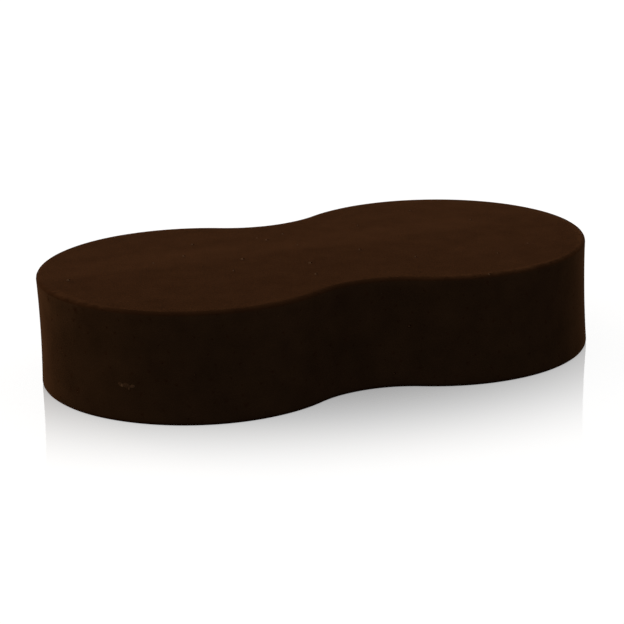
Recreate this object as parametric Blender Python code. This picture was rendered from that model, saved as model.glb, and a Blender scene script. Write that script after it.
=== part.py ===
"""Wax applicator: a figure-of-eight pad, cut in one piece from a slab of fine-celled foam.

Two round lobes do the spreading, and the waist between them is where thumb and fingers hold the pad.
The pad lies flat with its long axis along X. The origin is in the middle of its underside, and +Z is up.
"""

import math

import bmesh
import bpy

# Driving sizes, in metres
LOBE_RADIUS = 0.042  # each round end, as the cutting rule is bent
LOBE_SPACING = 0.071  # between the centres of the two round ends
WAIST_RADIUS = 0.028  # hollow curve of the grip, tangent to both round ends
THICKNESS = 0.030  # slab that the pad is cut from
WALL_DISH = 0.0004  # how far the cut wall draws in half way up
EDGE_RADIUS = 0.0008  # softening of the two cut edges

# Fineness of the facets
LOBE_STEPS = 38
WAIST_STEPS = 10
EDGE_STEPS = 2
WALL_STEPS = 5

FOAM_BROWN = (0.032, 0.0132, 0.0058, 1.0)


def clear_scene():
    for old in list(bpy.data.objects):
        bpy.data.objects.remove(old)


def foam_material():
    """Matt open-celled foam, very dark brown."""
    material = bpy.data.materials.new("dark_foam")
    material.use_nodes = True
    shader = material.node_tree.nodes["Principled BSDF"]
    shader.inputs["Base Color"].default_value = FOAM_BROWN
    shader.inputs["Roughness"].default_value = 0.95
    shader.inputs["Metallic"].default_value = 0.0
    material.diffuse_color = FOAM_BROWN
    return material


def arc(centre, radius, start, end, steps):
    """Points of an arc from angle start up to, and without, angle end."""
    points = []
    for step in range(steps):
        angle = start + (end - start) * step / steps
        x = centre[0] + radius * math.cos(angle)
        y = centre[1] + radius * math.sin(angle)
        points.append((x, y))
    return points


def outline(inset):
    """The figure of eight drawn in by inset, anticlockwise from the front waist.

    Its four arcs keep their centres, so a smaller lobe and a wider waist curve stay tangent to each other.
    """
    lobe_x = LOBE_SPACING / 2
    waist_y = math.sqrt((LOBE_RADIUS + WAIST_RADIUS) ** 2 - lobe_x**2)
    tangent = math.atan2(waist_y, lobe_x)
    lobe = LOBE_RADIUS - inset
    waist = WAIST_RADIUS + inset
    half_turn = math.pi
    right_lobe = arc((lobe_x, 0), lobe, tangent - half_turn, half_turn - tangent, LOBE_STEPS)
    back_waist = arc((0, waist_y), waist, -tangent, tangent - half_turn, WAIST_STEPS)
    left_lobe = arc((-lobe_x, 0), lobe, tangent, 2 * half_turn - tangent, LOBE_STEPS)
    front_waist = arc((0, -waist_y), waist, half_turn - tangent, tangent, WAIST_STEPS)
    return right_lobe + back_waist + left_lobe + front_waist


def wall_heights():
    """Heights of the wall's rings: close together round each softened edge, even between the edges."""
    edge = []
    for step in range(EDGE_STEPS):
        angle = math.pi / 2 * step / EDGE_STEPS
        edge.append(EDGE_RADIUS * (1 - math.cos(angle)))
    plain = THICKNESS - 2 * EDGE_RADIUS
    wall = [EDGE_RADIUS + plain * step / WALL_STEPS for step in range(WALL_STEPS + 1)]
    return edge + wall + [THICKNESS - height for height in reversed(edge)]


def wall_inset(height):
    """How far the wall stands in from the cutting line: the dish, and the rounding of the nearer edge."""
    share = 2 * height / THICKNESS - 1
    dish = WALL_DISH * (1 - share**2)
    from_face = min(height, THICKNESS - height)
    rise = max(EDGE_RADIUS - from_face, 0)
    rounding = EDGE_RADIUS - math.sqrt(EDGE_RADIUS**2 - rise**2)
    return dish + rounding


def ring(mesh, height):
    """One closed loop of edges round the wall."""
    points = outline(wall_inset(height))
    verts = [mesh.verts.new((x, y, height)) for x, y in points]
    following = verts[1:] + verts[:1]
    return [mesh.edges.new(pair) for pair in zip(verts, following)]


def make_foam_pad(material):
    mesh = bmesh.new()
    rings = [ring(mesh, height) for height in wall_heights()]
    for lower, upper in zip(rings, rings[1:]):
        bmesh.ops.bridge_loops(mesh, edges=lower + upper)
    bmesh.ops.contextual_create(mesh, geom=rings[0])
    bmesh.ops.contextual_create(mesh, geom=rings[-1])
    bmesh.ops.recalc_face_normals(mesh, faces=mesh.faces[:])
    data = bpy.data.meshes.new("foam_pad")
    mesh.to_mesh(data)
    mesh.free()
    data.materials.append(material)
    data.shade_smooth()
    data.set_sharp_from_angle(angle=math.radians(40))
    pad = bpy.data.objects.new("foam_pad", data)
    bpy.context.scene.collection.objects.link(pad)
    return pad


def main():
    clear_scene()
    make_foam_pad(foam_material())


main()
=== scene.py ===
"""Wax applicator pad: dark, fine-celled foam cut in a figure of eight, lying on a pale table.

One piece, foam_body, stands for the pad. Geometry Nodes press a box of quads into the pad's shape, open
cells in its cut faces and leave torn films of foam at them.
"""

import math

import bpy
from mathutils import Matrix, Vector


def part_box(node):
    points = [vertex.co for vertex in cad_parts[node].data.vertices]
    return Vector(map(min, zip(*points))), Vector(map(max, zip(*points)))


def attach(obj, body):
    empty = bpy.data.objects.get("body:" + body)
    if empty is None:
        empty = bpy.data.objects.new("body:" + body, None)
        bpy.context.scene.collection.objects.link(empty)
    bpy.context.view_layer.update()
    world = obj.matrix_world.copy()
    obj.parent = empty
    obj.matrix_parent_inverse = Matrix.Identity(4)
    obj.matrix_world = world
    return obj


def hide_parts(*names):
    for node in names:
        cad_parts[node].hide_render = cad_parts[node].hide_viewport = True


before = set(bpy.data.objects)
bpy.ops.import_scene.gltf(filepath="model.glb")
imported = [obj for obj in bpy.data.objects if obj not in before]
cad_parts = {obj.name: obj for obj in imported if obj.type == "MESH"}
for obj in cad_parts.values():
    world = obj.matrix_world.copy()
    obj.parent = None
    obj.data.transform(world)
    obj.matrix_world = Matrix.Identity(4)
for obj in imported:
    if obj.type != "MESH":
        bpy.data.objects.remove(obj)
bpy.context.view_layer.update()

MM = 0.001

# The pad, as its solid has it
pad_low, pad_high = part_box("foam_pad")
LENGTH, WIDTH, THICKNESS = pad_high - pad_low
LOBE_RADIUS = WIDTH / 2
LOBE_SPACING = LENGTH - WIDTH
WAIST_RADIUS = 28 * MM
WALL_DISH = 0.4 * MM

# Its cut edges, a little softer than the solid's
EDGE_RADIUS = 1.1 * MM

# The cut of this pad ran a little out of square: how far its underside lies off its top, along X and Y
LEAN_X = 0.19 * MM
LEAN_Y = -0.94 * MM

# Fineness of the pad's mesh, a grid whose corners lie on the lobes, at CORNER_ANGLE from the X axis
CORNER_ANGLE = math.radians(50)
LONG_STEPS = 120
SHORT_STEPS = 66
WALL_STEPS = 24
EDGE_STEPS = 4

# Slow waves of the cut faces
WAVE_HEIGHT = 0.12 * MM
WAVES_PER_METRE = 45.0

# Cut open cells, all over the pad and closer together along its edges
CELL_GAP = 2.6 * MM
CELLS_PER_AREA = 60000
CELL_RADIUS = (0.06 * MM, 0.15 * MM)
EDGE_CELL_GAP = 1.5 * MM
EDGE_CELLS_PER_AREA = 400000
EDGE_CELL_RADIUS = (0.07 * MM, 0.17 * MM)
CELL_FLATNESS = 0.55
CELL_SEED = 11
EDGE_CELL_SEED = 12

# Films of foam that the cut left standing: balls made ragged by noise and pressed thin
FILM_GAP = 3.6 * MM
FILMS_PER_AREA = 12000
FILM_RADIUS = (0.04 * MM, 0.10 * MM)
FILM_THINNESS = 0.25
FILM_RAGGEDNESS = 1.2
FILM_NOISE = 1.7
# Each film's colour goes this far to the films' pale brown, which is partly painted glint
FILM_PALENESS = (0.2, 1.0)
FILM_LOWEST = 1 * MM
FILM_SEED = 5

# Edges that are sharper than this stay crisp, as round a cell
CRISP_ANGLE = math.radians(35)

# Bright specks of the photograph: place on the pad and radius of the standing film, in mm
SPECKS = [
    (-69.6, 3.8, 30, 0.42), (-27.7, 22.2, 30, 0.36), (-34.1, 12.1, 30, 0.36), (-43.8, 9.1, 30, 0.31),
    (-27.2, -7.4, 30, 0.31), (-21.0, 2.0, 30, 0.47), (-9.1, 20.6, 30, 0.26), (-7.6, 17.4, 30, 0.39),
    (-1.1, 21.3, 30, 0.29), (-6.2, -9.8, 30, 0.44), (-9.1, -20.4, 30, 0.36), (-1.7, 9.0, 30, 0.26),
    (11.3, -3.4, 30, 0.36), (21.7, -16.9, 30, 0.36), (41.7, 28.7, 30, 0.26), (21.4, 20.3, 30, 0.23),
    (52.6, 11.7, 30, 0.26), (43.1, -23.7, 30, 0.26), (55.0, -18.4, 30, 0.26), (31.8, -40.6, 29.9, 0.30),
    (11.4, -34.7, 16.7, 0.30), (7.5, -33.3, 3.9, 0.22), (-50.9, -39.1, 23.4, 0.20),
    (-50.8, -39.1, 13.6, 0.20), (-74.6, -15.4, 5.6, 0.22),
]

# The specks' films stand at SPECK_TILT and face the camera, turned by up to SPECK_SWING either way, both in
# degrees. SWING_WAVES makes a fast wave over the pad, so that neighbours are turned apart.
SPECK_TILT = 62
SPECK_SWING = 35
SWING_WAVES = (57, 23)

# A speck's film and the cell beside it, as shares of its radius, and how pale the films on the wall are
SPECK_HEIGHT = 0.8
SPECK_CELL = 1.2
WALL_SPECK_PALENESS = 0.4

# Torn place low on the front wall, in mm and degrees: place, half sizes and turn, and how pale it is
TEAR = [
    ((-67.0, -27.8, 10.1), (0.75, 0.12, 0.48), (0, 35, -48), 0.34),
    ((-66.7, -28.1, 9.9), (0.45, 0.14, 0.40), (0, 40, -48), 1.0),
    ((-65.9, -29.0, 10.0), (1.10, 0.10, 0.60), (0, 5, -46), 0.32),
    ((-64.6, -30.3, 9.95), (0.75, 0.12, 0.42), (0, -6, -43), 0.50),
    ((-65.3, -29.6, 9.3), (0.28, 0.11, 0.55), (0, 15, -45), 0.45),
]

# Painted highlight along the lip of the upper rim, and the stretches where it shows: middle and reach, in mm
LIP_WIDTH = 2.5 * MM
HIGHLIT_RIMS = [((50, -35, 30), 48), ((-74, -14, 30), 20)]

# The painted highlight is broken up by noise: how fine it is, the range of it that counts, and the paleness
# that it gives
RIM_HIGHLIGHT_FINENESS = 420.0
RIM_HIGHLIGHT_NOISE = (0.35, 0.60)
RIM_HIGHLIGHT_PALENESS = (0.30, 0.90)

# Painted light on the wall: paler places below the rim at both ends, where more light falls: middle and
# reach, in mm
LIT_WALL_ENDS = [((-76.5, -8, 30), 12), ((68, -26, 30), 11)]
WALL_END_HIGHLIGHT = 0.25

# The painted highlights of the rims and of the wall's ends are full up to this share of their reach
FULL_SHARE = 0.5

# Skiving streak along the top, its paleness partly painted sheen of the cut's nap. Its middle line crosses Y
# at
# STREAK_OFFSET and falls by STREAK_SLOPE. It is full up to STREAK_CORE from that line and gone at
# STREAK_REACH, and it fades out along X in STREAK_END.
# Painted light: the top behind the streak is a little paler, where the light and sheen from behind fall.
# Below the top face, both are full up to the second depth of STREAK_DEPTH and gone at the first.
STREAK_OFFSET = 10.5 * MM
STREAK_SLOPE = -0.02
STREAK_CORE = 3 * MM
STREAK_REACH = 9.5 * MM
STREAK_END = (42 * MM, 67 * MM)
STREAK_PALENESS = 0.23
BACK_PAINTED_LIGHT = 0.07
STREAK_DEPTH = (0.4 * MM, 0.2 * MM)

# Colours and finish of the foam: its top and underside, its wall, its torn films and its sheen
FOAM_BROWN = (0.0281, 0.0116, 0.0048, 1.0)
# The wall's brown is paler and more neutral than the top's: painted haze, the neutral reflection of the white
# room
HAZED_SIDE_BROWN = (0.0328, 0.0165, 0.0080, 1.0)
# The films are real and stand where they catch the light; their pale brown is partly painted glint of their
# membranes
FILM_BROWN_WITH_GLINT = (0.1100, 0.0620, 0.0340, 1.0)
SHEEN_BROWN = (1.0, 0.50, 0.28, 1.0)
SHEEN_WEIGHT = 0.098
SHEEN_ROUGHNESS = 0.25
FOAM_ROUGHNESS = 0.95

# Patches and finer mottles of the foam: how many to the metre, and how strong
MOTTLING = [(45.0, 0.28), (170.0, 0.50)]

# The cells that are too fine for the mesh, drawn by the material
CELLS_PER_METRE = 2400.0
CELL_CONTRAST = 0.10
CELL_DEPTH = 0.03 * MM

# Colours of the lamps: those at the sides are warmer than the one overhead
WHITE = (1.0, 1.0, 1.0)
WARM = (1.0, 0.75, 0.50)

# The lamps: name, place, the point that it faces, width and height in metres, power in watts, and colour
LAMPS = [
    ("overhead_softbox", (0, 0.1, 1.0), (0, 0, 0), (1.6, 1.6), 4.96, WHITE),
    ("left_softbox", (-1.1, 0.47, 0.35), (0, 0, 0.02), (0.6, 0.6), 4.34, WARM),
    ("back_left_strip", (-0.40, 1.143, 0.09), (-0.03, 0, 0.02), (0.4, 0.15), 10.94, WARM),
    ("back_right_strip", (1.119, 0.510, 0.09), (0.03, 0, 0.02), (0.4, 0.15), 5.38, WARM),
]

# The white room round the pad: how strongly it lights things
ROOM_LIGHT = 0.245

# The table's top lies a hair under the pad. Its own brightness, where it is seen, rises to white over
# TABLE_FADE from the pad, as less of the lamps' light falls there.
TABLE_TOP = -0.02 * MM
TABLE_HALF = 4.0
TABLE_GLOW = 0.835
TABLE_FADE = (0.3, 1.0)

# How much of the lamps' light the table throws back, as it is seen and as it lights the pad
SEEN_GREY = 0.31
BOUNCE_GREY = 0.30

# The table mirrors the pad where two discs overlap, one with its middle at MIRROR_MIDDLE and one opposite.
# Each is full up to the first radius of MIRROR_FADE and gone at the second.
MIRROR_MIDDLE = (10 * MM, 60 * MM, 0)
MIRROR_FADE = (73 * MM, 159 * MM)
MIRROR_SHARE = 0.66
MIRROR_ROUGHNESS = 0.04

# The camera that the photograph fits, looking at a point over the middle of the underside. Its angles are in
# degrees, and its sensor and focal length in mm.
CAMERA_TURN = -22.952
CAMERA_RISE = 16.780
CAMERA_ROLL = 1.068
CAMERA_DISTANCE = 717.2 * MM
CAMERA_AIM_RIGHT = -1.52 * MM
CAMERA_AIM_HEIGHT = 12.96 * MM
CAMERA_CLIP = (0.05, 20.0)
SENSOR = 36.0
FOCAL_LENGTH = 151.18

# How far apart a tree's nodes stand in Blender's node editor
NODE_SPACING = 180


def new_node(tree, kind, inputs=None, **settings):
    """Adds a node. inputs maps a socket's name or number to a plain value or to another node's output."""
    made = tree.nodes.new(kind)
    made.location = (NODE_SPACING * len(tree.nodes), 0)
    for name, value in settings.items():
        setattr(made, name, value)
    for key, value in (inputs or {}).items():
        feed(tree, made.inputs[key], value)
    return made


def feed(tree, socket, value):
    """Links the socket to another node's output, or gives it a plain value."""
    if isinstance(value, Number):
        value = value.output
    if isinstance(value, bpy.types.NodeSocket):
        tree.links.new(value, socket)
    else:
        socket.default_value = value


class Number:
    """A number that flows through a node tree: Python's own signs on it add Math nodes."""

    def __init__(self, tree, output):
        self.tree = tree
        self.output = output

    def maths(self, operation, *terms):
        inputs = dict(enumerate(terms))
        made = new_node(self.tree, "ShaderNodeMath", inputs, operation=operation)
        return Number(self.tree, made.outputs[0])

    def __add__(self, other):
        return self.maths("ADD", self, other)

    def __radd__(self, other):
        return self.maths("ADD", other, self)

    def __sub__(self, other):
        return self.maths("SUBTRACT", self, other)

    def __rsub__(self, other):
        return self.maths("SUBTRACT", other, self)

    def __mul__(self, other):
        return self.maths("MULTIPLY", self, other)

    def __truediv__(self, other):
        return self.maths("DIVIDE", self, other)

    def __gt__(self, other):
        return self.maths("GREATER_THAN", self, other)

    def smaller(self, other):
        return self.maths("MINIMUM", self, other)

    def larger(self, other):
        return self.maths("MAXIMUM", self, other)

    def sine(self):
        return self.maths("SINE", self)

    def cosine(self):
        return self.maths("COSINE", self)

    def arcsine(self):
        return self.maths("ARCSINE", self)

    def root(self):
        return self.maths("SQRT", self)

    def size(self):
        return self.maths("ABSOLUTE", self)

    def sign(self):
        return self.maths("SIGN", self)


def choose(test, yes, no):
    """yes where test is 1, no where it is 0."""
    return no + test * (yes - no)


def scaled(tree, vector, factor):
    """The vector, or the colour, times the factor."""
    made = new_node(tree, "ShaderNodeVectorMath", {0: vector, "Scale": factor}, operation="SCALE")
    return made.outputs["Vector"]


def combined(tree, operation, first, second):
    """Two vectors taken together, axis by axis."""
    made = new_node(tree, "ShaderNodeVectorMath", {0: first, 1: second}, operation=operation)
    return made.outputs["Vector"]


def distance(tree, first, second):
    made = new_node(tree, "ShaderNodeVectorMath", {0: first, 1: second}, operation="DISTANCE")
    return made.outputs["Value"]


def random_between(tree, low, high, seed):
    """A number, or a vector where low is one, drawn anew for each point.

    The node takes the limits of a vector on its sockets 0 and 1, and those of a number on 2 and 3.
    """
    vector = isinstance(low, tuple)
    kind, first = ("FLOAT_VECTOR", 0) if vector else ("FLOAT", 2)
    inputs = {first: low, first + 1: high, "Seed": seed}
    made = new_node(tree, "FunctionNodeRandomValue", inputs, data_type=kind)
    return made.outputs[first // 2]


def named(tree, name, kind="FLOAT"):
    """The attribute of that name, on each point."""
    made = new_node(tree, "GeometryNodeInputNamedAttribute", {"Name": name}, data_type=kind)
    return made.outputs["Attribute"]


def node_group(name, sizes):
    """A Geometry Nodes tree that takes the sizes as named inputs: tree, first node, inputs and last node."""
    tree = bpy.data.node_groups.new(name, "GeometryNodeTree")
    tree.interface.new_socket("Geometry", in_out="INPUT", socket_type="NodeSocketGeometry")
    tree.interface.new_socket("Geometry", in_out="OUTPUT", socket_type="NodeSocketGeometry")
    for label, value in sizes.items():
        kind = "NodeSocketInt" if isinstance(value, int) else "NodeSocketFloat"
        tree.interface.new_socket(label, in_out="INPUT", socket_type=kind)
    start = tree.nodes.new("NodeGroupInput")
    end = tree.nodes.new("NodeGroupOutput")
    inputs = {label: Number(tree, start.outputs[label]) for label in sizes}
    return tree, start, inputs, end


def wall_rows(inputs, level):
    """Height of each row of the box, and how far it stands in from the cutting line.

    level runs from -1 in the lowest row to 1 in the highest. The rows turn round the two softened edges,
    and climb evenly between them up the dished wall.
    """
    edge_steps, wall_steps = inputs["Edge Steps"], inputs["Wall Steps"]
    radius, thickness = inputs["Edge Radius"], inputs["Thickness"]
    rows = wall_steps + edge_steps * 2
    row = (level + 1) / 2 * rows
    from_face = row.smaller(rows - row)
    turn = (from_face / edge_steps).smaller(1) * (math.pi / 2)
    climb = (from_face - edge_steps).larger(0) / wall_steps * (thickness - radius * 2)
    rise = radius * (1 - turn.cosine()) + climb
    height = choose(level > 0, thickness - rise, rise)
    share = height / thickness * 2 - 1
    inset = radius * (1 - turn.sine()) + inputs["Wall Dish"] * (1 - share * share)
    return height, inset


def plan_position(inputs, across, along, inset):
    """Place of a point of the square, -1 to 1 both ways, on the figure of eight drawn in by inset.

    The square's long sides lie along the waist and the flanks of both lobes, its short sides round the ends.
    Inside, the four sides are blended, which leaves no pole and no thin row.
    """
    lobe, waist = inputs["Lobe Radius"], inputs["Waist Radius"]
    corner = inputs["Corner Angle"]
    centre = inputs["Lobe Spacing"] / 2
    waist_centre = ((lobe + waist) * (lobe + waist) - centre * centre).root()
    waist_turn = (centre / (lobe + waist)).arcsine()
    lobe_turn = waist_turn + (math.pi / 2) - corner
    waist_share = waist * waist_turn / (waist * waist_turn + lobe * lobe_turn)
    drawn_lobe = lobe - inset
    drawn_waist = waist + inset

    part = along.size()
    on_lobe = part > waist_share
    turn = (part / waist_share).smaller(1) * waist_turn
    swing = corner + lobe_turn * (1 - (part - waist_share).larger(0) / (1 - waist_share))
    flank_x = choose(on_lobe, centre + drawn_lobe * swing.cosine(), drawn_waist * turn.sine())
    flank_y = choose(on_lobe, drawn_lobe * swing.sine(), waist_centre - drawn_waist * turn.cosine())

    end_x = drawn_lobe * (corner * across).cosine()
    end_y = drawn_lobe * (corner * across).sine()
    corner_x = drawn_lobe * corner.cosine()
    corner_y = drawn_lobe * corner.sine()
    x = along.sign() * flank_x + along * (end_x - corner_x)
    y = end_y + across * (flank_y - corner_y)
    return x, y


def zones(inputs, across, along, level, rows):
    """Where the skin is wall, where it is softened edge, and the lip of both rims.

    steps counts the rows from the nearer face. The lip is 1 where the face meets the softened edge. It falls
    to 0 at its width inwards on the face, and over the edge to 0 at the wall.
    """
    steps = (1 - level.size()) / 2 * rows
    side = steps > inputs["Edge Steps"] - 0.5
    edge = (steps > 0.5) * (1 - side)
    width = inputs["Lobe Radius"] * 2
    length = inputs["Lobe Spacing"] + width
    inwards = ((1 - across.size()) * width).smaller((1 - along.size()) * length) / 2
    # The lip is the band where the rim's painted highlight goes
    lip = (1 - inwards / inputs["Lip Width"]).larger(0) * (1 - steps / inputs["Edge Steps"]).larger(0)
    return {"side": side, "edge": edge, "lip": lip}


def pad_skin(tree, inputs):
    """The plain closed pad, all quads, with its zones painted on it."""
    rows = inputs["Wall Steps"] + inputs["Edge Steps"] * 2
    box = new_node(tree, "GeometryNodeMeshCube", {
        "Size": (2, 2, 2),
        "Vertices X": inputs["Long Steps"] + 1,
        "Vertices Y": inputs["Short Steps"] + 1,
        "Vertices Z": rows + 1,
    })
    place = new_node(tree, "GeometryNodeInputPosition")
    parts = new_node(tree, "ShaderNodeSeparateXYZ", {0: place.outputs[0]})
    along, across, level = (Number(tree, output) for output in parts.outputs)
    height, inset = wall_rows(inputs, level)
    x, y = plan_position(inputs, across, along, inset)
    lower = 0.5 - height / inputs["Thickness"]
    leaning = {0: x + inputs["Lean X"] * lower, 1: y + inputs["Lean Y"] * lower, 2: height}
    pressed = new_node(tree, "ShaderNodeCombineXYZ", leaning)
    marked = box.outputs["Mesh"]
    for name, value in zones(inputs, across, along, level, rows).items():
        marked = store(tree, marked, name, value)
    moved = new_node(tree, "GeometryNodeSetPosition", {"Geometry": marked, "Position": pressed.outputs[0]})
    return wavy(tree, inputs, moved.outputs[0])


def store(tree, geometry, name, value):
    """Writes the value on every point of the geometry, where the material can read it."""
    inputs = {"Geometry": geometry, "Name": name, "Value": value}
    made = new_node(tree, "GeometryNodeStoreNamedAttribute", inputs, data_type="FLOAT", domain="POINT")
    return made.outputs[0]


def shaken(tree, geometry, fineness, height):
    """The geometry with its points moved by smooth noise, by up to half the height along each axis."""
    noise = new_node(tree, "ShaderNodeTexNoise", {"Scale": fineness, "Detail": 1.0})
    both_ways = combined(tree, "SUBTRACT", noise.outputs["Color"], (0.5, 0.5, 0.5))
    shift = scaled(tree, both_ways, height)
    moved = new_node(tree, "GeometryNodeSetPosition", {"Geometry": geometry, "Offset": shift})
    return moved.outputs[0]


def wavy(tree, inputs, skin):
    """The skin with slow waves in it, and nothing below the pad's rest plane."""
    waved = shaken(tree, skin, WAVES_PER_METRE, inputs["Wave Height"])
    place = new_node(tree, "GeometryNodeInputPosition")
    raised = combined(tree, "MAXIMUM", place.outputs[0], (-1, -1, 0))
    resting = new_node(tree, "GeometryNodeSetPosition", {"Geometry": waved, "Position": raised})
    return resting.outputs[0]


def scattered(tree, skin, gap, density, seed, where=True):
    """Points on the skin, never nearer to each other than the gap."""
    inputs = {"Mesh": skin, "Selection": where, "Distance Min": gap, "Density Max": density, "Seed": seed}
    spread = new_node(tree, "GeometryNodeDistributePointsOnFaces", inputs, distribute_method="POISSON")
    return spread.outputs["Points"]


def placed(tree, points, shape, turn, size, where=True):
    """The shape on each of the points, as real mesh."""
    copies = new_node(tree, "GeometryNodeInstanceOnPoints", {
        "Points": points,
        "Selection": where,
        "Instance": shape,
        "Rotation": turn,
        "Scale": size,
    })
    real = new_node(tree, "GeometryNodeRealizeInstances", {"Geometry": copies.outputs[0]})
    return real.outputs[0]


def ball(tree, fineness=2):
    """A ball of radius 1."""
    made = new_node(tree, "GeometryNodeMeshIcoSphere", {"Radius": 1.0, "Subdivisions": fineness})
    return made.outputs["Mesh"]


def film(tree, fineness=2):
    """One ragged film of foam, about 1 in radius."""
    return shaken(tree, ball(tree, fineness), FILM_NOISE, FILM_RAGGEDNESS)


def flattened(tree, radius, flatness):
    """The sizes of a ball that is pressed flat one way."""
    return scaled(tree, (1, 1, flatness), radius)


def any_turn(tree, seed):
    """A turn about all three axes, drawn anew for each point."""
    return random_between(tree, (0.0, 0.0, 0.0), (math.pi, math.pi, math.pi), seed)


def balls_at(tree, points, low, high, seed):
    """A flattened ball on each point, with its radius from low to high and any turn."""
    size = flattened(tree, random_between(tree, low, high, seed), CELL_FLATNESS)
    return placed(tree, points, ball(tree), any_turn(tree, seed), size)


def cell_balls(tree, inputs, skin):
    """The balls that open cells: scattered over the whole skin, and again along its edges."""
    on_edge = Number(tree, named(tree, "edge")) > 0.5
    over = scattered(tree, skin, inputs["Cell Gap"], CELLS_PER_AREA, CELL_SEED)
    along = scattered(tree, skin, inputs["Edge Cell Gap"], EDGE_CELLS_PER_AREA, EDGE_CELL_SEED, on_edge)
    radii = inputs["Smallest Cell"], inputs["Largest Cell"]
    edge_radii = inputs["Smallest Edge Cell"], inputs["Largest Edge Cell"]
    return balls_at(tree, over, *radii, CELL_SEED), balls_at(tree, along, *edge_radii, EDGE_CELL_SEED)


def loose_films(tree, inputs, skin):
    """Tiny films all over the top and the wall; none underneath, where the pad lies on them."""
    place = new_node(tree, "GeometryNodeInputPosition")
    height = new_node(tree, "ShaderNodeSeparateXYZ", {0: place.outputs[0]})
    clear = Number(tree, height.outputs["Z"]) > inputs["Lowest Film"]
    points = scattered(tree, skin, inputs["Film Gap"], FILMS_PER_AREA, FILM_SEED, clear)
    radius = random_between(tree, inputs["Smallest Film"], inputs["Largest Film"], FILM_SEED)
    thin = flattened(tree, radius, FILM_THINNESS)
    pale = store(tree, points, "film", random_between(tree, *FILM_PALENESS, FILM_SEED + 1))
    return placed(tree, pale, film(tree, 1), any_turn(tree, FILM_SEED), thin)


def marks_of(tree, start, skin):
    """The marks' points, moved onto the skin, and which of them cut."""
    near = new_node(tree, "GeometryNodeProximity", {"Geometry": skin}, target_element="FACES")
    moved = new_node(tree, "GeometryNodeSetPosition", {
        "Geometry": start.outputs["Geometry"],
        "Position": near.outputs["Position"],
    })
    return moved.outputs[0], Number(tree, named(tree, "cuts")) > 0.5


def pad_with_cells(tree, start, inputs):
    """The whole pad: the skin with its cells cut, and films standing on it, also at the torn place."""
    skin = pad_skin(tree, inputs)
    marks, cuts = marks_of(tree, start, skin)
    turn = named(tree, "turn", "FLOAT_VECTOR")
    size = named(tree, "size", "FLOAT_VECTOR")
    speck_cells = placed(tree, marks, ball(tree), turn, size, cuts)
    flaps = placed(tree, marks, film(tree), turn, size, 1 - cuts)
    cut = new_node(tree, "GeometryNodeMeshBoolean", {
        "Mesh 1": skin,
    }, operation="DIFFERENCE", solver="MANIFOLD")
    for cutter in (*cell_balls(tree, inputs, skin), speck_cells):
        feed(tree, cut.inputs["Mesh 2"], cutter)
    joined = new_node(tree, "GeometryNodeJoinGeometry")
    for part in (cut.outputs["Mesh"], loose_films(tree, inputs, skin), flaps):
        feed(tree, joined.inputs[0], part)
    return joined.outputs[0]


def speck_marks():
    """Two marks for each speck, the film that catches the light and the cell beside it.

    A mark is its place, half sizes, turn, paleness, and 1 if it cuts or 0 if it stands.
    """
    marks = []
    for x, y, z, radius in SPECKS:
        heading = CAMERA_TURN + SPECK_SWING * math.sin(SWING_WAVES[0] * x + SWING_WAVES[1] * y)
        on_top = z * MM > THICKNESS - EDGE_RADIUS
        # Films on the wall are less pale: their pale brown is partly painted glint
        paleness = 1.0 if on_top else WALL_SPECK_PALENESS
        film_size = (radius, radius * SPECK_HEIGHT, radius * FILM_THINNESS)
        cell_size = (radius * SPECK_CELL,) * 3
        marks.append(((x, y, z), film_size, (SPECK_TILT, 0, heading), paleness, 0.0))
        marks.append(((x + radius, y + radius, z), cell_size, (0, 0, heading), 0.0, 1.0))
    return marks


def marks_mesh():
    """A vertex for each mark of the specks and the torn place, with what it needs as attributes."""
    marks = speck_marks() + [(*flap, 0.0) for flap in TEAR]
    places, halves, turns, paleness, cuts = zip(*marks)
    mesh = bpy.data.meshes.new("marks")
    mesh.from_pydata([Vector(place) * MM for place in places], [], [])
    sizes = [length * MM for half in halves for length in half]
    angles = [math.radians(angle) for turn in turns for angle in turn]
    mesh.attributes.new("size", "FLOAT_VECTOR", "POINT").data.foreach_set("vector", sizes)
    mesh.attributes.new("turn", "FLOAT_VECTOR", "POINT").data.foreach_set("vector", angles)
    mesh.attributes.new("film", "FLOAT", "POINT").data.foreach_set("value", paleness)
    mesh.attributes.new("cuts", "FLOAT", "POINT").data.foreach_set("value", cuts)
    return mesh


def apply_tree(piece, tree, sizes):
    """Runs the tree on the piece and keeps the result as its plain mesh, without the marks' own values."""
    modifier = piece.modifiers.new(tree.name, "NODES")
    modifier.node_group = tree
    for item in tree.interface.items_tree:
        if item.name in sizes:
            modifier[item.identifier] = sizes[item.name]
    bpy.context.view_layer.update()
    evaluated = piece.evaluated_get(bpy.context.evaluated_depsgraph_get())
    result = bpy.data.meshes.new_from_object(evaluated)
    piece.modifiers.remove(modifier)
    piece.data = result
    result.name = piece.name
    for layer in ("cuts", "size", "turn", "id"):
        result.attributes.remove(result.attributes[layer])
    return piece


def mixed(tree, share, first, second):
    """The first colour, and more of the second the nearer share is to 1. Sockets 6 and 7 take the colours."""
    made = new_node(tree, "ShaderNodeMix", {0: share, 6: first, 7: second}, data_type="RGBA")
    return made.outputs[2]


def eased(tree, value, low, high, at_low, at_high):
    """value carried from low..high to at_low..at_high along a soft curve."""
    inputs = {"Value": value, "From Min": low, "From Max": high, "To Min": at_low, "To Max": at_high}
    made = new_node(tree, "ShaderNodeMapRange", inputs, interpolation_type="SMOOTHSTEP")
    return Number(tree, made.outputs["Result"])


def painted(tree, name):
    """An attribute of the mesh, as a number."""
    made = new_node(tree, "ShaderNodeAttribute", attribute_name=name)
    return Number(tree, made.outputs["Fac"])


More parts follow.
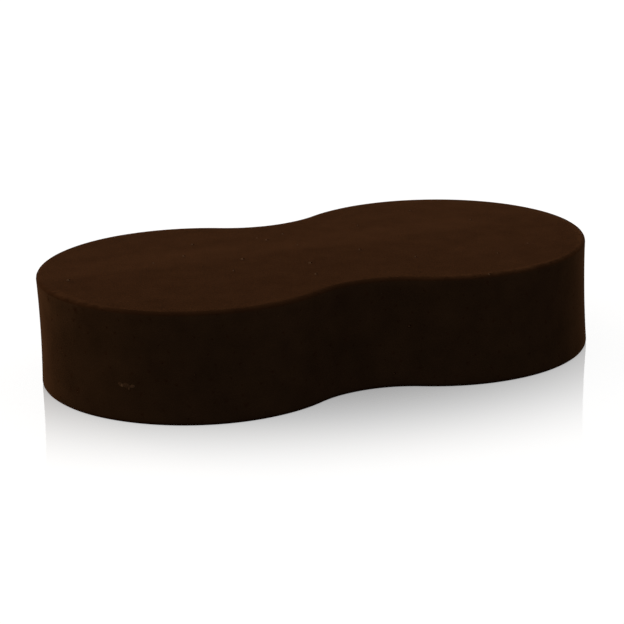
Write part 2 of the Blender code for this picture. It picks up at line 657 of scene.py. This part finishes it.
def near_any(tree, place, places):
    """1 about the middle of each of the places, down to 0 at its reach."""
    total = 0
    for middle, reach in places:
        away = distance(tree, place, [length * MM for length in middle])
        total = eased(tree, away, reach * MM * FULL_SHARE, reach * MM, 1.0, 0.0) + total
    return total


def noise_in(tree, place, fineness, detail):
    """Smooth noise from 0 to 1."""
    made = new_node(tree, "ShaderNodeTexNoise", {0: place, "Scale": fineness, "Detail": detail})
    return Number(tree, made.outputs["Fac"])


def streak_and_lit_back(tree, x, y, z):
    """The pale streak along the top, partly painted sheen, and painted light that makes the top behind it
    paler.
    """
    on_top = eased(tree, z, *(THICKNESS - depth for depth in STREAK_DEPTH), 0.0, 1.0)
    past_streak = y - x * STREAK_SLOPE - STREAK_OFFSET
    line = eased(tree, past_streak.size(), STREAK_CORE, STREAK_REACH, STREAK_PALENESS, 0.0)
    line = line * eased(tree, x, *STREAK_END, 1.0, 0.0)
    # Painted light: the top behind the streak is paler
    back = eased(tree, past_streak, -STREAK_REACH, STREAK_REACH, 0.0, BACK_PAINTED_LIGHT)
    return (line + back) * on_top


def painted_highlights(tree, place, z):
    """Painted highlights: the lip of the upper rim, in patches, and paler places of the wall at both ends."""
    patchy = eased(tree, noise_in(tree, place, RIM_HIGHLIGHT_FINENESS, 2.0), *RIM_HIGHLIGHT_NOISE, *RIM_HIGHLIGHT_PALENESS)
    upper = z > THICKNESS / 2
    rim = painted(tree, "lip") * patchy * near_any(tree, place, HIGHLIT_RIMS) * upper
    lit_ends = near_any(tree, place, LIT_WALL_ENDS) * painted(tree, "side") * WALL_END_HIGHLIGHT
    return rim + lit_ends


def foam_material():
    """Matt dark foam: fine cells, slow mottling, the streak along the top, and painted highlights at the rim
    and the wall's ends.
    """
    material = bpy.data.materials.new("dark_foam")
    material.use_nodes = True
    tree = material.node_tree
    shader = tree.nodes["Principled BSDF"]
    place = new_node(tree, "ShaderNodeTexCoord").outputs["Object"]
    parts = new_node(tree, "ShaderNodeSeparateXYZ", {0: place})
    x, y, z = (Number(tree, output) for output in parts.outputs)

    uneven = 0
    for fineness, strength in MOTTLING:
        uneven = (noise_in(tree, place, fineness, 1.0) - 0.5) * strength + uneven
    cells = new_node(tree, "ShaderNodeTexVoronoi", {0: place, "Scale": CELLS_PER_METRE})
    single = new_node(tree, "ShaderNodeSeparateXYZ", {0: cells.outputs["Color"]})
    grain = (Number(tree, single.outputs["X"]) - 0.5) * CELL_CONTRAST

    # Painted light in the paleness: the streak in part, the top behind it, the rim and the wall's ends;
    # mottling and grain are the foam's own
    paleness = 1 + streak_and_lit_back(tree, x, y, z) + uneven + grain + painted_highlights(tree, place, z)
    # The wall takes its hazed brown, a painted haze of reflected light
    base = mixed(tree, painted(tree, "side"), FOAM_BROWN, HAZED_SIDE_BROWN)
    # Films, loose ones, the specks' and the torn place's, take their pale brown, partly painted glint
    colour = mixed(tree, painted(tree, "film"), scaled(tree, base, paleness), FILM_BROWN_WITH_GLINT)
    tree.links.new(colour, shader.inputs["Base Color"])

    relief = new_node(tree, "ShaderNodeBump", {
        "Strength": 1.0,
        "Distance": CELL_DEPTH,
        "Height": cells.outputs["Distance"],
    })
    tree.links.new(relief.outputs[0], shader.inputs["Normal"])
    shader.inputs["Roughness"].default_value = FOAM_ROUGHNESS
    shader.inputs["Specular IOR Level"].default_value = 0.0
    shader.inputs["Sheen Weight"].default_value = SHEEN_WEIGHT
    shader.inputs["Sheen Roughness"].default_value = SHEEN_ROUGHNESS
    shader.inputs["Sheen Tint"].default_value = SHEEN_BROWN
    return material


def make_foam_body():
    """The whole pad as one piece: the tree runs on the marks' mesh and gives the foam around them."""
    sizes = {
        "Lobe Radius": LOBE_RADIUS,
        "Lobe Spacing": LOBE_SPACING,
        "Waist Radius": WAIST_RADIUS,
        "Thickness": THICKNESS,
        "Wall Dish": WALL_DISH,
        "Edge Radius": EDGE_RADIUS,
        "Lean X": LEAN_X,
        "Lean Y": LEAN_Y,
        "Corner Angle": CORNER_ANGLE,
        "Long Steps": LONG_STEPS,
        "Short Steps": SHORT_STEPS,
        "Wall Steps": WALL_STEPS,
        "Edge Steps": EDGE_STEPS,
        "Crisp Angle": CRISP_ANGLE,
        "Wave Height": WAVE_HEIGHT,
        "Lip Width": LIP_WIDTH,
        "Cell Gap": CELL_GAP,
        "Smallest Cell": CELL_RADIUS[0],
        "Largest Cell": CELL_RADIUS[1],
        "Edge Cell Gap": EDGE_CELL_GAP,
        "Smallest Edge Cell": EDGE_CELL_RADIUS[0],
        "Largest Edge Cell": EDGE_CELL_RADIUS[1],
        "Film Gap": FILM_GAP,
        "Smallest Film": FILM_RADIUS[0],
        "Largest Film": FILM_RADIUS[1],
        "Lowest Film": FILM_LOWEST,
    }
    tree, start, inputs, end = node_group("cut_foam_pad", sizes)
    pad = pad_with_cells(tree, start, inputs)
    smooth = new_node(tree, "GeometryNodeSetShadeSmooth", {"Geometry": pad})
    bend = new_node(tree, "GeometryNodeInputMeshEdgeAngle")
    crisp = new_node(tree, "GeometryNodeSetShadeSmooth", {
        "Geometry": smooth.outputs[0],
        "Selection": Number(tree, bend.outputs["Unsigned Angle"]) > inputs["Crisp Angle"],
        "Shade Smooth": False,
    }, domain="EDGE")
    whole = new_node(tree, "GeometryNodeSetMaterial", {
        "Geometry": crisp.outputs[0],
        "Material": foam_material(),
    })
    tree.links.new(whole.outputs[0], end.inputs[0])
    body = bpy.data.objects.new("foam_body", marks_mesh())
    bpy.context.scene.collection.objects.link(body)
    return apply_tree(body, tree, sizes)


def add_camera():
    """The camera, turned and raised about its aim and rolled a little about its own axis."""
    data = bpy.data.cameras.new("camera")
    data.sensor_width = SENSOR
    data.lens = FOCAL_LENGTH
    data.clip_start, data.clip_end = CAMERA_CLIP
    camera = bpy.data.objects.new("camera", data)
    turn = Matrix.Rotation(math.radians(CAMERA_TURN), 4, "Z")
    rise = Matrix.Rotation(math.radians(90 - CAMERA_RISE), 4, "X")
    roll = Matrix.Rotation(math.radians(-CAMERA_ROLL), 4, "Z")
    upright = turn @ rise
    right = upright.to_3x3() @ Vector((1, 0, 0))
    back = upright.to_3x3() @ Vector((0, 0, 1))
    aim = right * CAMERA_AIM_RIGHT + Vector((0, 0, CAMERA_AIM_HEIGHT))
    camera.matrix_world = Matrix.Translation(aim + back * CAMERA_DISTANCE) @ upright @ roll
    bpy.context.scene.collection.objects.link(camera)
    bpy.context.scene.camera = camera


def add_softbox(name, place, aim, size, strength, colour):
    """A lamp with a flat face of the given size, at its place and turned to its aim."""
    data = bpy.data.lights.new(name, "AREA")
    data.shape = "RECTANGLE"
    data.size, data.size_y = size
    data.energy = strength
    data.color = colour
    lamp = bpy.data.objects.new(name, data)
    lamp.location = place
    lamp.rotation_euler = (Vector(aim) - Vector(place)).to_track_quat("-Z", "Y").to_euler()
    bpy.context.scene.collection.objects.link(lamp)


def grey(level):
    """A node's colour, from 0 for black to 1 for white."""
    return (level, level, level, 1)


def seen_directly(tree):
    """1 for rays that come from the camera, a mirror or glass, 0 for the rays that light the object."""
    rays = new_node(tree, "ShaderNodeLightPath")
    camera = Number(tree, rays.outputs["Is Camera Ray"])
    glossy = Number(tree, rays.outputs["Is Glossy Ray"])
    through = Number(tree, rays.outputs["Is Transmission Ray"])
    return camera.larger(glossy).larger(through)


def add_world():
    """A room that is seen white and lights the pad less."""
    world = bpy.data.worlds.new("studio")
    world.use_nodes = True
    tree = world.node_tree
    background = tree.nodes["Background"]
    background.inputs["Color"].default_value = grey(1)
    feed(tree, background.inputs["Strength"], choose(seen_directly(tree), 1.0, ROOM_LIGHT))
    bpy.context.scene.world = world


def mixed_shaders(tree, share, first, second):
    """The first shader, and more of the second the nearer share is to 1."""
    return new_node(tree, "ShaderNodeMixShader", {0: share, 1: first.outputs[0], 2: second.outputs[0]})


def table_material():
    """A pale table, seen nearly white with its shadows and a weak mirror image of the pad."""
    material = bpy.data.materials.new("pale_table")
    material.use_nodes = True
    tree = material.node_tree
    tree.nodes.clear()
    end = new_node(tree, "ShaderNodeOutputMaterial")
    place = new_node(tree, "ShaderNodeTexCoord").outputs["Object"]
    mirror_share = 1.0
    for side in (1, -1):
        away = distance(tree, place, [side * length for length in MIRROR_MIDDLE])
        mirror_share = eased(tree, away, *MIRROR_FADE, MIRROR_SHARE, 0.0).smaller(mirror_share)
    glow = eased(tree, distance(tree, place, (0, 0, 0)), *TABLE_FADE, TABLE_GLOW, 1.0)
    white = new_node(tree, "ShaderNodeEmission", {"Color": grey(1), "Strength": glow})
    shaded = new_node(tree, "ShaderNodeBsdfDiffuse", {"Color": grey(SEEN_GREY)})
    plain = new_node(tree, "ShaderNodeAddShader", {0: white.outputs[0], 1: shaded.outputs[0]})
    mirror = new_node(tree, "ShaderNodeBsdfGlossy", {"Color": grey(1), "Roughness": MIRROR_ROUGHNESS})
    bounce = new_node(tree, "ShaderNodeBsdfDiffuse", {"Color": grey(BOUNCE_GREY)})
    seen = mixed_shaders(tree, mirror_share, plain, mirror)
    both = mixed_shaders(tree, seen_directly(tree), bounce, seen)
    tree.links.new(both.outputs[0], end.inputs[0])
    return material


def add_table():
    """A wide table under the pad, which isn't part of it."""
    mesh = bpy.data.meshes.new("table")
    signs = [(-1, -1), (1, -1), (1, 1), (-1, 1)]
    corners = [(x * TABLE_HALF, y * TABLE_HALF, TABLE_TOP) for x, y in signs]
    mesh.from_pydata(corners, [], [(0, 1, 2, 3)])
    mesh.materials.append(table_material())
    table = bpy.data.objects.new("table", mesh)
    bpy.context.scene.collection.objects.link(table)


def main():
    foam_body = make_foam_body()
    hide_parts("foam_pad")
    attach(foam_body, "root")
    add_table()
    for lamp in LAMPS:
        add_softbox(*lamp)
    add_world()
    add_camera()
    bpy.context.scene.view_settings.view_transform = "Standard"


main()
